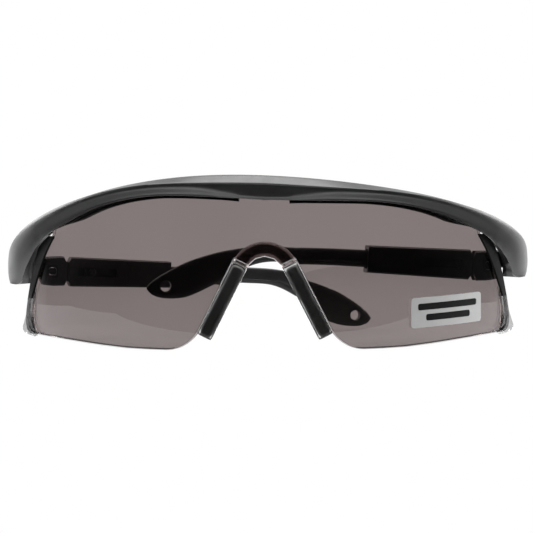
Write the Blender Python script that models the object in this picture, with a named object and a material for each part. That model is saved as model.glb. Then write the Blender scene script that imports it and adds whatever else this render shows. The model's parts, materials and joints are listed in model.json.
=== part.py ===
"""Wrap-around safety glasses with a brow frame, one smoked lens and adjustable temples.

Frame: metres, +Z up, and the lens looks along -Y.  z = 0 is the table that the lens's lower edge
stands on, and the origin is under the middle of the folded glasses.  "left" and "right" are the
wearer's, so the left side is +X.
The glasses are modelled with their temples folded behind the lens, the left one in front.
"""
import math

import bmesh
import bpy
from mathutils import Matrix, Vector

MM = 0.001

# ---- lens: a vertical cylinder at the front, turned back into a short wing at each side -------
LENS_THICKNESS = 2.2 * MM
LENS_ARCS = ((88.0 * MM, 49.5), (12.0 * MM, 66.0))  # (radius, tangent angle at the arc's end)
LENS_FRONT_Y = -38.8 * MM

# ---- brow bar ---------------------------------------------------------------------------------
BROW_PROUD = 2.4 * MM  # how far the bar's face stands in front of the lens
BROW_ARCS = ((90.4 * MM, 52.8), (22.1 * MM, 90.0))
BROW_DEPTH = 6.4 * MM
BROW_TOP = 47.6 * MM
BROW_HALF_WIDTH = 76.5 * MM
BROW_DROP = 26.5 * MM  # the top outline is half an ellipse with this half height, filled out by
BROW_FULLNESS = 0.88  # this power of its cosine
BROW_SKEW, SKEW_SPAN = 0.95 * MM, 70.0 * MM  # the bar bows up on the right and down on the left
FACET_SPREAD = 28.0 * MM  # the top facet thins out over this length
GROOVE_NEAR, GROOVE_FAR, GROOVE_UP = 2.1 * MM, 4.9 * MM, 2.2 * MM
REAR_LIP = 0.6 * MM
REAR_LIP_START = 7.2 * MM

# ---- fold hinge: a vertical pin inside the hooked end of the brow bar ---------------------------
HINGE_X, HINGE_Y = 73.0 * MM, LENS_FRONT_Y + 43.0 * MM
PIN_RADIUS, PIN_BORE = 0.8 * MM, 1.05 * MM
BOSS_RADIUS = 2.9 * MM
BOSS_LOW, BOSS_HIGH = 16.4 * MM, 26.5 * MM
KNUCKLE_RADIUS = 2.0 * MM
KNUCKLE_LOW, KNUCKLE_HIGH = 18.6 * MM, 24.3 * MM
GAP = 0.3 * MM

# ---- temples, in their own frame: x along the arm from the fold pin, z up from the arm's middle --
ARM_HALF_THICKNESS = 2.2 * MM
NECK_HALF_THICKNESS = 1.5 * MM
BLOCK_START, BLOCK_END = 6.2 * MM, 14.3 * MM
BLOCK_HALF_HEIGHT = 4.3 * MM
TILT_PIVOT = 10.0 * MM
TILT_PIN_RADIUS, TILT_PIN_BORE = 1.0 * MM, 1.25 * MM
TONGUE_HALF_THICKNESS = 0.9 * MM
SLEEVE_START, SLEEVE_END = 14.9 * MM, 45.7 * MM
SLEEVE_HALF_HEIGHT = (4.35 * MM, 3.9 * MM)  # at its hinge end and at its open end
CHANNEL_START = 16.2 * MM
CHANNEL_HALF_HEIGHT, CHANNEL_HALF_THICKNESS = 2.75 * MM, 1.4 * MM
STEM_START = 17.0 * MM
STEM_HALF_HEIGHT, STEM_HALF_THICKNESS = 2.4 * MM, 1.1 * MM
BUTTON_X, BUTTON_RADIUS = 18.9 * MM, 1.0 * MM
LANYARD_HOLE = (103.0 * MM, -10.9 * MM)
LANYARD_RADIUS = 1.55 * MM
SLIDE_TRAVEL = 9.0 * MM

# How each temple lies at rest: fold angle past straight across, tilt of its tip, extension and the
# height of its middle line at the hinge.  "hook" is how far the hook is raised above its level.
TEMPLES = {
    "left": {"side": 1, "fold": -12.5, "tilt": 4.0, "slide": 0.0, "height": 21.1 * MM,
             "hook": 1.3 * MM},
    "right": {"side": -1, "fold": 19.0, "tilt": -2.8, "slide": 3.0 * MM, "height": 19.9 * MM,
              "hook": 0.0},
}

# ---- nose piece -------------------------------------------------------------------------------
NOSE_ARCH_CENTRE_Z, NOSE_ARCH_RADIUS = 20.15 * MM, 7.4 * MM
NOSE_LEG_ANGLE = 26.9  # each leg leans this far from the vertical
NOSE_LEG_LENGTH = 22.1 * MM
NOSE_WIDTH = 4.2 * MM
PAD_WIDTH = 3.5 * MM

COLOURS = {  # name: (base colour, roughness, transmission)
    "brow_nylon": ((0.022, 0.022, 0.023), 0.42, 0.0),
    "lens_smoke": ((0.19, 0.165, 0.16), 0.05, 0.8),
    "clear_plastic": ((0.85, 0.85, 0.85), 0.08, 0.9),
    "temple_nylon": ((0.012, 0.012, 0.013), 0.35, 0.0),
    "pad_rubber": ((0.01, 0.01, 0.011), 0.55, 0.0),
    "steel": ((0.45, 0.45, 0.46), 0.3, 0.0),
    "label_film": ((0.62, 0.62, 0.62), 0.5, 0.0),
}


# ---- helpers ----------------------------------------------------------------------------------
def clear_scene():
    for item in list(bpy.data.objects):
        bpy.data.objects.remove(item)


def material(name):
    """The named Principled material, made once."""
    found = bpy.data.materials.get(name)
    if found:
        return found
    colour, roughness, transmission = COLOURS[name]
    made = bpy.data.materials.new(name)
    made.use_nodes = True
    shader = made.node_tree.nodes["Principled BSDF"]
    shader.inputs["Base Color"].default_value = (*colour, 1.0)
    shader.inputs["Roughness"].default_value = roughness
    shader.inputs["Metallic"].default_value = 1.0 if name == "steel" else 0.0
    shader.inputs["Transmission Weight"].default_value = transmission
    return made


def add_object(name, bm, material_name=None, parent=None, smooth_angle=35.0):
    """Turns a bmesh into an object with outward faces, in its parent's frame."""
    bmesh.ops.remove_doubles(bm, verts=bm.verts, dist=1e-7)
    bmesh.ops.recalc_face_normals(bm, faces=bm.faces)
    mesh = bpy.data.meshes.new(name)
    bm.to_mesh(mesh)
    bm.free()
    if smooth_angle:
        mesh.shade_smooth()
        mesh.set_sharp_from_angle(angle=math.radians(smooth_angle))
    item = bpy.data.objects.new(name, mesh)
    bpy.context.scene.collection.objects.link(item)
    item.parent = parent
    if material_name:
        mesh.materials.append(material(material_name))
    return item


def add_empty(name, parent, location, rotation=(0.0, 0.0, 0.0)):
    item = bpy.data.objects.new(name, None)
    bpy.context.scene.collection.objects.link(item)
    item.parent = parent
    item.location = location
    item.rotation_euler = rotation
    return item


def combine(target, tool, operation):
    """Adds a Boolean modifier; the tool stays in the file as a hidden guide."""
    tool.hide_render = True
    tool.display_type = "WIRE"
    modifier = target.modifiers.new(tool.name, "BOOLEAN")
    modifier.operation = operation
    modifier.solver = "EXACT"
    modifier.object = tool


def loft(rings):
    """A closed body through equal rings of points, with flat ends."""
    bm = bmesh.new()
    rows = [[bm.verts.new(point) for point in ring] for ring in rings]
    count = len(rows[0])
    for near, far in zip(rows, rows[1:]):
        for i in range(count):
            j = (i + 1) % count
            bm.faces.new((near[i], near[j], far[j], far[i]))
    bm.faces.new(rows[0])
    bm.faces.new(reversed(rows[-1]))
    return bm


def circle(radius, segments=24):
    return [
        (radius * math.cos(2 * math.pi * i / segments), radius * math.sin(2 * math.pi * i / segments))
        for i in range(segments)
    ]


def prism_z(outline, low, high):
    """An outline in the XY plane, pulled from z = low to z = high."""
    return loft([[Vector((x, y, z)) for x, y in outline] for z in (low, high)])


def prism_y(outline, low, high):
    """An outline in the XZ plane, pulled from y = low to y = high."""
    return loft([[Vector((x, y, z)) for x, z in outline] for y in (low, high)])


def rounded_box_ring(x, half_y, low, high, chamfer):
    """One ring of a bar that runs along X, with cut corners."""
    c = chamfer
    points = (
        (-half_y + c, low), (half_y - c, low), (half_y, low + c), (half_y, high - c),
        (half_y - c, high), (-half_y + c, high), (-half_y, high - c), (-half_y, low + c),
    )
    return [Vector((x, y, z)) for y, z in points]


def smooth_curve(points, steps):
    """A Catmull-Rom curve through the points, each a tuple of numbers."""
    ends = [points[0], *points, points[-1]]
    curve = []
    for a, b, c, d in zip(ends, ends[1:], ends[2:], ends[3:]):
        for i in range(steps):
            t = i / steps
            curve.append(
                tuple(
                    0.5 * (2 * q + (r - p) * t + (2 * p - 5 * q + 4 * r - s) * t**2
                           + (3 * q - p - 3 * r + s) * t**3)
                    for p, q, r, s in zip(a, b, c, d)
                )
            )
    curve.append(tuple(points[-1]))
    return curve


def between(table, x):
    """Straight interpolation in a table of (x, value) pairs in rising x."""
    if x <= table[0][0]:
        return table[0][1]
    for (x0, v0), (x1, v1) in zip(table, table[1:]):
        if x <= x1:
            return v0 + (v1 - v0) * (x - x0) / (x1 - x0)
    return table[-1][1]


# ---- plan curves: the glasses seen from above --------------------------------------------------
def plan_point(arcs, front_y, s, depth):
    """The point a length s along a wrapped curve and a depth behind it, as (x, y)."""
    side = 1.0 if s >= 0 else -1.0
    left = abs(s)
    x, y, angle = 0.0, front_y, 0.0
    for radius, end in arcs:
        end = math.radians(end)
        step = min(left, radius * (end - angle))
        turned = angle + step / radius
        x += radius * (math.sin(turned) - math.sin(angle))
        y += radius * (math.cos(angle) - math.cos(turned))
        left -= step
        angle = turned
        if left <= 0:
            break
    x += left * math.cos(angle) - depth * math.sin(angle)
    y += left * math.sin(angle) + depth * math.cos(angle)
    return side * x, y


def plan_length(arcs, x):
    """The length along the curve at which it reaches x, which lies on one of its arcs."""
    start, angle, length = 0.0, 0.0, 0.0
    for radius, end in arcs:
        end = math.radians(end)
        reach = start + radius * (math.sin(end) - math.sin(angle))
        if x <= reach:
            turned = math.asin((x - start) / radius + math.sin(angle))
            return length + radius * (turned - angle)
        length += radius * (end - angle)
        start, angle = reach, end
    return length + (x - start) / math.cos(angle)


def lens_point(s, depth, z):
    x, y = plan_point(LENS_ARCS, LENS_FRONT_Y, s, depth)
    return Vector((x, y, z))


def brow_point(s, depth, z):
    x, y = plan_point(BROW_ARCS, LENS_FRONT_Y - BROW_PROUD, s, depth)
    return Vector((x, y, z))


def curved_plate(columns, near, far, point=lens_point):
    """A plate that follows the lens: columns are (s, low, high) in rising s."""
    rings = [
        [point(s, near, low), point(s, near, high), point(s, far, high), point(s, far, low)]
        for s, low, high in columns
    ]
    return loft(rings)


# ---- brow bar ---------------------------------------------------------------------------------
# Each row pairs an angle round the top outline's ellipse with the point (x, z) straight across
# the bar on its lower outline.  The last rows run down the inner side of the hook.
BROW_LOWER = [
    (0.0, 0.0, 41.0), (18.3, 24.0, 41.35), (27.0, 34.0, 40.85), (35.0, 42.6, 39.4),
    (43.0, 49.8, 37.2), (51.0, 56.0, 34.3), (65.0, 63.8, 29.4), (79.0, 68.6, 22.8),
    (93.0, 71.2, 17.4), (100.0, 73.2, 16.3),
]


def eased(low, high, x):
    """0 below low, 1 above high, and a smooth rise between."""
    t = min(max((x - low) / (high - low), 0.0), 1.0)
    return t * t * (3.0 - 2.0 * t)


def skew(x):
    """How far the bar lies above its even height at x, positive on the wearer's left."""
    reach = min(max(x, -SKEW_SPAN), SKEW_SPAN)
    return -BROW_SKEW * math.sin(math.pi * reach / SKEW_SPAN)


def lower_edge(x):
    """Height of the bar's lower edge at x, positive on the wearer's left."""
    table = [(px * MM, pz * MM) for _, px, pz in smooth_curve(BROW_LOWER, 6)]
    return between(table, abs(x)) + skew(x)


def brow_row(temple, turn, low_x, low_z):
    """(s_top, z_top, s_low, z_low) for one angle round the top outline, in radians."""
    side = temple["side"]
    rise = temple["hook"] * eased(math.radians(62.0), math.radians(86.0), turn)
    top_x = BROW_HALF_WIDTH * math.sin(turn) * 0.9995
    level = math.cos(turn)
    level = level**BROW_FULLNESS if level > 0.0 else level
    top_z = BROW_TOP - BROW_DROP * (1.0 - level) + skew(side * top_x) + rise
    low_z += skew(side * low_x) + rise
    return plan_length(BROW_ARCS, top_x), top_z, plan_length(BROW_ARCS, low_x), low_z


def brow_rows(temple):
    """Rows from the middle of the bar to the tip of its hook; the rear lip starts with a step."""
    rows = [brow_row(temple, math.radians(turn), x * MM, z * MM)
            for turn, x, z in smooth_curve(BROW_LOWER, 3)]
    for x in (REAR_LIP_START - 0.1 * MM, REAR_LIP_START + 0.1 * MM):
        rows.append(brow_row(temple, math.asin(x / BROW_HALF_WIDTH), x, lower_edge(x) - skew(x)))
    return sorted(rows, key=lambda row: row[2])


def brow_ring(row, side, lip):
    """One section of the bar: (fraction of its height, depth behind its face)."""
    s_top, z_top, s_low, z_low = row
    height = math.hypot(s_top - s_low, z_top - z_low)
    facet = (0.6 + 1.5 / (1.0 + (s_top / FACET_SPREAD) ** 4)) * MM
    outward = eased(3.0 * MM, 20.0 * MM, s_low)
    hooked = eased(56.0 * MM, 74.0 * MM, s_low)
    turned = 0.35 + 0.5 * outward - 0.25 * hooked  # how far the face turns under at its lower edge
    crest = 0.3 + 0.3 * outward  # the fraction of the height at which the face stands proudest
    lean, rim = 0.75 - 0.6 * hooked, 3.6 - 2.3 * hooked
    near, far, back = GROOVE_NEAR / MM, GROOVE_FAR / MM, BROW_DEPTH / MM
    lip, cut = lip / height, 0.065 * hooked  # the hook's inner side is cut back square to the front
    section = (
        (0.0, turned), (crest / 2, turned / 4), (crest, 0.0), (1.0 - facet / height, lean), (1.0, rim),
        (0.94, 5.4), (0.8, back), (cut * back - lip, back), (cut * far - lip, far), (cut * near, near),
    )
    ring = []
    for fraction, depth in section:
        s = s_low + (s_top - s_low) * fraction
        z = z_low + (z_top - z_low) * fraction
        ring.append(brow_point(side * s, depth * MM, z))
    return ring


def lip_height(s):
    """The rear lip of the lens groove stops short of the middle and of the hooks."""
    return REAR_LIP if REAR_LIP_START < s < 58.0 * MM else 0.0


def build_brow():
    left, right = [
        [brow_ring(row, temple["side"], lip_height(row[0])) for row in brow_rows(temple)]
        for temple in TEMPLES.values()
    ]
    right = right[:0:-1]
    brow = add_object("brow_bar", loft(right + left), "brow_nylon")

    groove_end = plan_length(BROW_ARCS, 66.0 * MM)
    count = 40
    columns = []
    for i in range(count + 1):
        s = groove_end * (2.0 * i / count - 1.0)
        x, _ = plan_point(BROW_ARCS, 0.0, s, 0.0)
        edge = lower_edge(x)
        columns.append((s, edge - 4.0 * MM, edge + GROOVE_UP))
    groove = curved_plate(columns, GROOVE_NEAR, GROOVE_FAR, brow_point)
    combine(brow, add_object("groove_cutter", groove), "DIFFERENCE")

    for name, temple in TEMPLES.items():
        side = temple["side"]
        axis = Vector((side * HINGE_X, HINGE_Y, temple["hook"]))
        rings = []
        for inset, z in ((1.5, BOSS_LOW), (0.45, BOSS_LOW + 0.45 * MM), (0.0, BOSS_LOW + 1.5 * MM),
                         (0.0, BOSS_HIGH - 3.0 * MM), (1.8, BOSS_HIGH)):
            rings.append([axis + Vector((x, y, z)) for x, y in circle(BOSS_RADIUS - inset * MM, 28)])
        combine(brow, add_object("boss_" + name, loft(rings)), "UNION")

        low, high = axis.z + KNUCKLE_LOW - GAP, axis.z + KNUCKLE_HIGH + GAP
        half, reach = NECK_HALF_THICKNESS + 0.45 * MM, 14.0 * MM
        lean, opened = math.radians(-15.0), math.radians(96.5)
        folded_way = Vector((-math.cos(lean), math.sin(lean)))
        open_way = Vector((-math.cos(opened), math.sin(opened)))
        front = half * Vector((-folded_way.y, folded_way.x))
        outside = half * Vector((open_way.y, -open_way.x))
        corners = (
            front, front + reach * folded_way, reach * Vector((-1.0, 1.0)),
            outside + reach * open_way, outside,
        )
        wedge = [(axis.x + side * c.x, axis.y + c.y) for c in corners]
        slot = prism_z(wedge, low - 0.02 * MM, high + 0.02 * MM)
        combine(brow, add_object("neck_slot_" + name, slot), "DIFFERENCE")

        hollow = [(axis.x + x, axis.y + y) for x, y in circle(KNUCKLE_RADIUS + GAP, 28)]
        combine(brow, add_object("knuckle_hollow_" + name, prism_z(hollow, low, high)), "DIFFERENCE")

        bore = [(axis.x + x, axis.y + y) for x, y in circle(PIN_BORE)]
        bore = prism_z(bore, axis.z + BOSS_LOW - 1.0 * MM, axis.z + BOSS_HIGH - 0.8 * MM)
        combine(brow, add_object("pin_bore_" + name, bore), "DIFFERENCE")


def build_hinge_pins():
    """Vertical steel pins, pressed up into the hooks from below."""
    for name, temple in TEMPLES.items():
        bottom, top, chamfer = BOSS_LOW + 0.4 * MM, BOSS_HIGH - 1.0 * MM, 0.2 * MM
        axis = Vector((temple["side"] * HINGE_X, HINGE_Y, temple["hook"]))
        rings = []
        for radius, z in ((PIN_RADIUS - chamfer, bottom), (PIN_RADIUS, bottom + chamfer),
                          (PIN_RADIUS, top - chamfer), (PIN_RADIUS - chamfer, top)):
            rings.append([axis + Vector((x, y, z)) for x, y in circle(radius, 16)])
        add_object("hinge_pin_" + name, loft(rings), "steel")


# ---- lens and what is fixed to it ----------------------------------------------------------------
LENS_LOWER = [  # (length along the lens, height): nose notch, lobe, lower edge, rear corner
    (0.0, 25.7), (2.5, 25.0), (4.4, 23.3), (8.9, 25.3), (9.25, 24.6), (18.8, 6.2), (19.8, 4.3),
    (21.4, 2.3), (23.6, 0.85), (25.6, 0.2), (27.5, 0.0), (33.0, 0.0), (40.0, 0.1), (48.0, 0.55),
    (58.0, 1.25), (68.0, 1.85), (75.0, 2.15), (76.6, 2.35), (78.2, 2.95), (79.7, 4.1), (80.5, 5.4),
]
LENS_SIDE = [  # (length along the lens, height) down its side edge
    (66.5, 31.8), (67.2, 30.0), (69.8, 28.2), (71.8, 26.7), (74.1, 23.4), (76.2, 19.3), (77.8, 14.6),
    (79.3, 11.5), (80.3, 9.0), (80.75, 6.8),
]


def lens_top(s):
    """Height of the lens's upper edge, in the bar's groove or down its side edge."""
    if abs(s) > LENS_SIDE[0][0] * MM:
        return between([(a * MM, b * MM) for a, b in LENS_SIDE], abs(s))
    x, _ = plan_point(LENS_ARCS, 0.0, s, -BROW_PROUD)
    return lower_edge(x) + GROOVE_UP - 0.5 * MM


def build_lens():
    lower = [(a * MM, b * MM) for a, b in LENS_LOWER]
    stops = {a for a, _ in lower} | {a * MM for a, _ in LENS_SIDE}
    stops |= {i * 4.0 * MM for i in range(8, 19)}
    stops |= {-s for s in stops}
    columns = [(s, between(lower, abs(s)), lens_top(s)) for s in sorted(stops)]
    add_object("lens", curved_plate(columns, 0.0, LENS_THICKNESS), "lens_smoke")


def build_label():
    """A thin film label on the wearer's left side of the lens, level with the ground."""
    left, right, count = 41.4 * MM, 66.4 * MM, 8
    columns = []
    for i in range(count + 1):
        t = i / count
        rise = 0.9 * MM * t
        cut = 0.8 * MM if i in (0, count) else 0.0
        columns.append((left + (right - left) * t, 5.2 * MM + rise + cut, 13.5 * MM + rise - cut))
    add_object("lens_label", curved_plate(columns, -0.5 * MM, -0.3 * MM), "label_film")


STRIP_ROWS = [  # (height, inner edge, outer edge) measured along the lens
    (29.6, 66.0, 68.6), (28.4, 66.9, 70.6), (26.7, 68.2, 72.6), (23.7, 70.2, 74.0), (19.5, 72.6, 75.8),
    (14.8, 75.0, 77.4), (12.6, 76.1, 78.2),
]


def build_side_carriers():
    """Black strips moulded along the front of the lens's side edges, under the hooks."""
    front, back = -0.9 * MM, -0.3 * MM
    for name, temple in TEMPLES.items():
        side = temple["side"]
        rings = []
        for z, inner, outer in reversed(STRIP_ROWS):
            section = ((inner, front), (outer, front), (outer, back), (inner, back))
            rings.append([lens_point(side * s * MM, depth, z * MM) for s, depth in section])
        add_object("side_carrier_" + name, loft(rings), "temple_nylon")


SHIELD_ROWS = [  # (length along the lens, height) of its inner edge, then of its outer edge
    (79.0, 13.3, 79.7, 13.9), (79.75, 11.6, 81.9, 11.0), (80.7, 9.1, 84.2, 7.8),
    (81.15, 6.8, 86.8, 5.0), (80.9, 5.1, 88.3, 3.1), (79.9, 3.7, 86.0, 1.9), (78.3, 2.5, 80.5, 1.6),
    (76.8, 1.9, 77.2, 1.5),
]


def build_side_shields():
    """Clear fins that carry the lens's rounded lower corners on to the side."""
    near, far = 0.4 * MM, 1.6 * MM
    for name, temple in TEMPLES.items():
        side = temple["side"]
        rings = []
        for inner_s, inner_z, outer_s, outer_z in SHIELD_ROWS:
            ends = ((inner_s, inner_z, near), (outer_s, outer_z, near),
                    (outer_s, outer_z, far), (inner_s, inner_z, far))
            rings.append([lens_point(side * s * MM, depth, z * MM) for s, z, depth in ends])
        add_object("side_shield_" + name, loft(rings), "clear_plastic")


# ---- nose piece ----------------------------------------------------------------------------------
def nose_path():
    """The lean of the legs, and (x, z) in the middle of the left leg's shoulder and foot."""
    lean = math.radians(NOSE_LEG_ANGLE)
    shoulder_x = NOSE_ARCH_RADIUS * math.cos(lean)
    shoulder_z = NOSE_ARCH_CENTRE_Z + NOSE_ARCH_RADIUS * math.sin(lean)
    foot_x = shoulder_x + NOSE_LEG_LENGTH * math.sin(lean)
    foot_z = shoulder_z - NOSE_LEG_LENGTH * math.cos(lean)
    return lean, (shoulder_x, shoulder_z), (foot_x, foot_z)


def leg_ring(side, centre, lean, width, near, far):
    """A rectangle straight across a leg of the nose piece."""
    across = Vector((side * math.cos(lean), 0.0, math.sin(lean))) * (width / 2)
    middle = Vector((side * centre[0], 0.0, centre[1]))
    ends = (middle - across, middle + across)
    return [
        Vector((end.x, y, end.z))
        for end, y in ((ends[0], near), (ends[1], near), (ends[1], far), (ends[0], far))
    ]


def build_nose_bridge():
    """A clear inverted U: its legs stand in the lens's notch and its arch passes behind the lens."""
    lean, shoulder, foot = nose_path()
    leg_near, arch_near, far = (LENS_FRONT_Y + y * MM for y in (0.6, 2.8, 5.2))
    step = 0.05 * MM
    low_shoulder = (shoulder[0] + step * math.sin(lean), shoulder[1] - step * math.cos(lean))
    half = [leg_ring(1.0, foot, lean, NOSE_WIDTH, leg_near, far),
            leg_ring(1.0, low_shoulder, lean, NOSE_WIDTH, leg_near, far)]
    count = 6
    for i in range(count + 1):
        turn = lean + (math.pi / 2 - lean) * i / count
        centre = (NOSE_ARCH_RADIUS * math.cos(turn), NOSE_ARCH_CENTRE_Z + NOSE_ARCH_RADIUS * math.sin(turn))
        half.append(leg_ring(1.0, centre, turn, NOSE_WIDTH, arch_near, far))
    other = [[Vector((-p.x, p.y, p.z)) for p in ring] for ring in reversed(half[:-1])]
    add_object("nose_bridge", loft(half + other), "clear_plastic")


def build_nose_pads():
    """Soft black pads behind the legs, with round lower ends."""
    lean, shoulder, foot = nose_path()
    near, far = LENS_FRONT_Y + 5.5 * MM, LENS_FRONT_Y + 11.5 * MM
    for name, temple in TEMPLES.items():
        rings = []
        for along, width in ((0.05, 0.8), (0.09, 1.0), (0.92, 1.0), (0.97, 0.85), (1.0, 0.5)):
            centre = [a + (b - a) * along for a, b in zip(shoulder, foot)]
            rings.append(leg_ring(temple["side"], centre, lean, PAD_WIDTH * width, near, far))
        add_object("nose_pad_" + name, loft(rings), "pad_rubber")


# ---- temples --------------------------------------------------------------------------------------
STEM_OUTLINE = [  # (distance from the fold pin, top, bottom) of the ear stem, in mm
    (46.2, 2.55, -2.4), (66.0, 2.4, -2.4), (76.0, 2.05, -3.0), (84.0, 0.9, -6.4), (90.0, -0.8, -9.9),
    (97.0, -3.6, -13.6), (103.0, -7.0, -14.35), (106.5, -9.5, -13.6), (108.2, -11.4, -12.1),
]


def arm_frames(name, temple):
    """Nested empties on the fold, tilt and slide axes; x runs along the arm."""
    side, fold = temple["side"], math.radians(temple["fold"])
    heading = math.pi - fold if side > 0 else fold
    place = (side * HINGE_X, HINGE_Y, temple["height"])
    hinge = add_empty("fold_frame_" + name, None, place, (0.0, 0.0, heading))
    tilt = -math.radians(temple["tilt"])
    tilting = add_empty("tilt_frame_" + name, hinge, (TILT_PIVOT, 0.0, 0.0), (0.0, tilt, 0.0))
    sliding = add_empty("slide_frame_" + name, tilting, (temple["slide"], 0.0, 0.0))
    return hinge, tilting, sliding


def build_hinge_block(name, temple, hinge):
    """Knuckle, neck and forked block; the sleeve tilts about a pin through the fork."""
    shift = temple["hook"] - temple["height"]
    low, high = KNUCKLE_LOW + shift, KNUCKLE_HIGH + shift
    knuckle = add_object("hinge_block_" + name, prism_z(circle(KNUCKLE_RADIUS, 28), low, high),
                         "temple_nylon", hinge)
    inset = 0.3 * MM
    neck = [
        rounded_box_ring(0.5 * MM, NECK_HALF_THICKNESS, low + inset, high - inset, 0.3 * MM),
        rounded_box_ring(5.6 * MM, NECK_HALF_THICKNESS, low + inset, high - inset, 0.3 * MM),
        rounded_box_ring(BLOCK_START + 1.0 * MM, ARM_HALF_THICKNESS, -3.9 * MM, 4.1 * MM, 0.4 * MM),
        rounded_box_ring(TILT_PIVOT, ARM_HALF_THICKNESS, -BLOCK_HALF_HEIGHT, BLOCK_HALF_HEIGHT, 0.4 * MM),
        rounded_box_ring(BLOCK_END - 0.8 * MM, ARM_HALF_THICKNESS, -BLOCK_HALF_HEIGHT,
                         BLOCK_HALF_HEIGHT, 0.4 * MM),
        rounded_box_ring(BLOCK_END, ARM_HALF_THICKNESS, -2.6 * MM, 2.6 * MM, 0.4 * MM),
    ]
    combine(knuckle, add_object("neck_" + name, loft(neck), parent=hinge), "UNION")
    bore = prism_z(circle(PIN_BORE), low - 1.0 * MM, high + 1.0 * MM)
    combine(knuckle, add_object("knuckle_bore_" + name, bore, parent=hinge), "DIFFERENCE")
    half = TONGUE_HALF_THICKNESS + GAP
    fork = prism_y([(6.6 * MM, -6.0 * MM), (16.0 * MM, -6.0 * MM), (16.0 * MM, 6.0 * MM),
                    (6.6 * MM, 6.0 * MM)], -half, half)
    combine(knuckle, add_object("fork_slot_" + name, fork, parent=hinge), "DIFFERENCE")
    pivot = prism_y([(TILT_PIVOT + x, z) for x, z in circle(TILT_PIN_BORE)], -4.0 * MM, 4.0 * MM)
    combine(knuckle, add_object("pivot_bore_" + name, pivot, parent=hinge), "DIFFERENCE")


def build_tilt_pin(name, hinge):
    rings = []
    end, chamfer = ARM_HALF_THICKNESS - 0.05 * MM, 0.25 * MM
    for y, radius in ((-end, TILT_PIN_RADIUS - chamfer), (-end + chamfer, TILT_PIN_RADIUS),
                      (end - chamfer, TILT_PIN_RADIUS), (end, TILT_PIN_RADIUS - chamfer)):
        rings.append([Vector((TILT_PIVOT + x, y, z)) for x, z in circle(radius, 16)])
    add_object("tilt_pin_" + name, loft(rings), "steel", hinge)


def build_sleeve(name, side, tilting):
    """A tapered box, open at its far end for the stem, with a tongue round the tilt pin."""
    start, end = SLEEVE_START - TILT_PIVOT, SLEEVE_END - TILT_PIVOT
    first, last = SLEEVE_HALF_HEIGHT
    shell = add_object("temple_sleeve_" + name, loft([
        rounded_box_ring(start, ARM_HALF_THICKNESS, -first + 1.2 * MM, first - 1.2 * MM, 0.4 * MM),
        rounded_box_ring(start + 0.7 * MM, ARM_HALF_THICKNESS, -first, first, 0.4 * MM),
        rounded_box_ring(end, ARM_HALF_THICKNESS, -last, last, 0.4 * MM),
    ]), "temple_nylon", tilting)
    nose = 2.9 * MM
    turns = [math.radians(90.0 + 15.0 * i) for i in range(13)]
    outline = [(nose * math.cos(turn), nose * math.sin(turn)) for turn in turns]
    outline += [(start + 0.8 * MM, -nose), (start + 0.8 * MM, nose)]
    tongue = prism_y(outline, -TONGUE_HALF_THICKNESS, TONGUE_HALF_THICKNESS)
    combine(shell, add_object("tongue_" + name, tongue, parent=tilting), "UNION")
    bore = prism_y(circle(TILT_PIN_BORE), -3.0 * MM, 3.0 * MM)
    combine(shell, add_object("tongue_bore_" + name, bore, parent=tilting), "DIFFERENCE")
    y, z = CHANNEL_HALF_THICKNESS, CHANNEL_HALF_HEIGHT
    channel = loft([rounded_box_ring(x, y, -z, z, 0.2 * MM)
                    for x in (CHANNEL_START - TILT_PIVOT, end + 2.0 * MM)])
    combine(shell, add_object("channel_" + name, channel, parent=tilting), "DIFFERENCE")
    half = BUTTON_RADIUS + GAP
    near = BUTTON_X - TILT_PIVOT - half
    far = BUTTON_X - TILT_PIVOT + SLIDE_TRAVEL + half
    slot = [(near, -half), (far, -half), (far, half), (near, half)]
    ways = sorted((side * 0.5 * MM, side * 4.0 * MM))
    combine(shell, add_object("button_slot_" + name, prism_y(slot, *ways), parent=tilting), "DIFFERENCE")


def build_stem(name, side, sliding):
    """The flat ear stem: a straight tail in the sleeve and a drooping paddle with a lanyard hole."""
    start = STEM_START - TILT_PIVOT
    rows = [(start, STEM_HALF_HEIGHT, -STEM_HALF_HEIGHT),
            (SLEEVE_END + 0.3 * MM - TILT_PIVOT, STEM_HALF_HEIGHT, -STEM_HALF_HEIGHT)]
    for x, top, bottom in smooth_curve(STEM_OUTLINE, 3):
        rows.append((x * MM - TILT_PIVOT, top * MM, bottom * MM))
    rings = [rounded_box_ring(x, STEM_HALF_THICKNESS, low, high, min(0.3 * MM, (high - low) / 3))
             for x, high, low in rows]
    stem = add_object("ear_stem_" + name, loft(rings), "temple_nylon", sliding)
    hole_x, hole_z = LANYARD_HOLE[0] - TILT_PIVOT, LANYARD_HOLE[1]
    hole = prism_y([(hole_x + x, hole_z + z) for x, z in circle(LANYARD_RADIUS, 28)], -4 * MM, 4 * MM)
    combine(stem, add_object("lanyard_hole_" + name, hole, parent=sliding), "DIFFERENCE")
    x0 = BUTTON_X - TILT_PIVOT
    seat = [(x0 + x, z) for x, z in circle(BUTTON_RADIUS + GAP, 20)]
    ways = sorted((side * -0.2 * MM, side * 3.0 * MM))
    combine(stem, add_object("button_seat_" + name, prism_y(seat, *ways), parent=sliding), "DIFFERENCE")

    rings = []
    for y, radius in ((0.1, 1.0), (1.9, 1.0), (2.1, 0.8)):
        rings.append([Vector((x0 + x, side * y * MM, z)) for x, z in circle(radius * BUTTON_RADIUS, 20)])
    add_object("length_button_" + name, loft(rings), "temple_nylon", sliding)


def build_temples():
    for name, temple in TEMPLES.items():
        hinge, tilting, sliding = arm_frames(name, temple)
        build_hinge_block(name, temple, hinge)
        build_tilt_pin(name, hinge)
        build_sleeve(name, temple["side"], tilting)
        build_stem(name, temple["side"], sliding)


clear_scene()
build_brow()
build_hinge_pins()
build_lens()
build_label()
build_side_carriers()
build_side_shields()
build_nose_bridge()
build_nose_pads()
build_temples()
bpy.context.view_layer.update()
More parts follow.
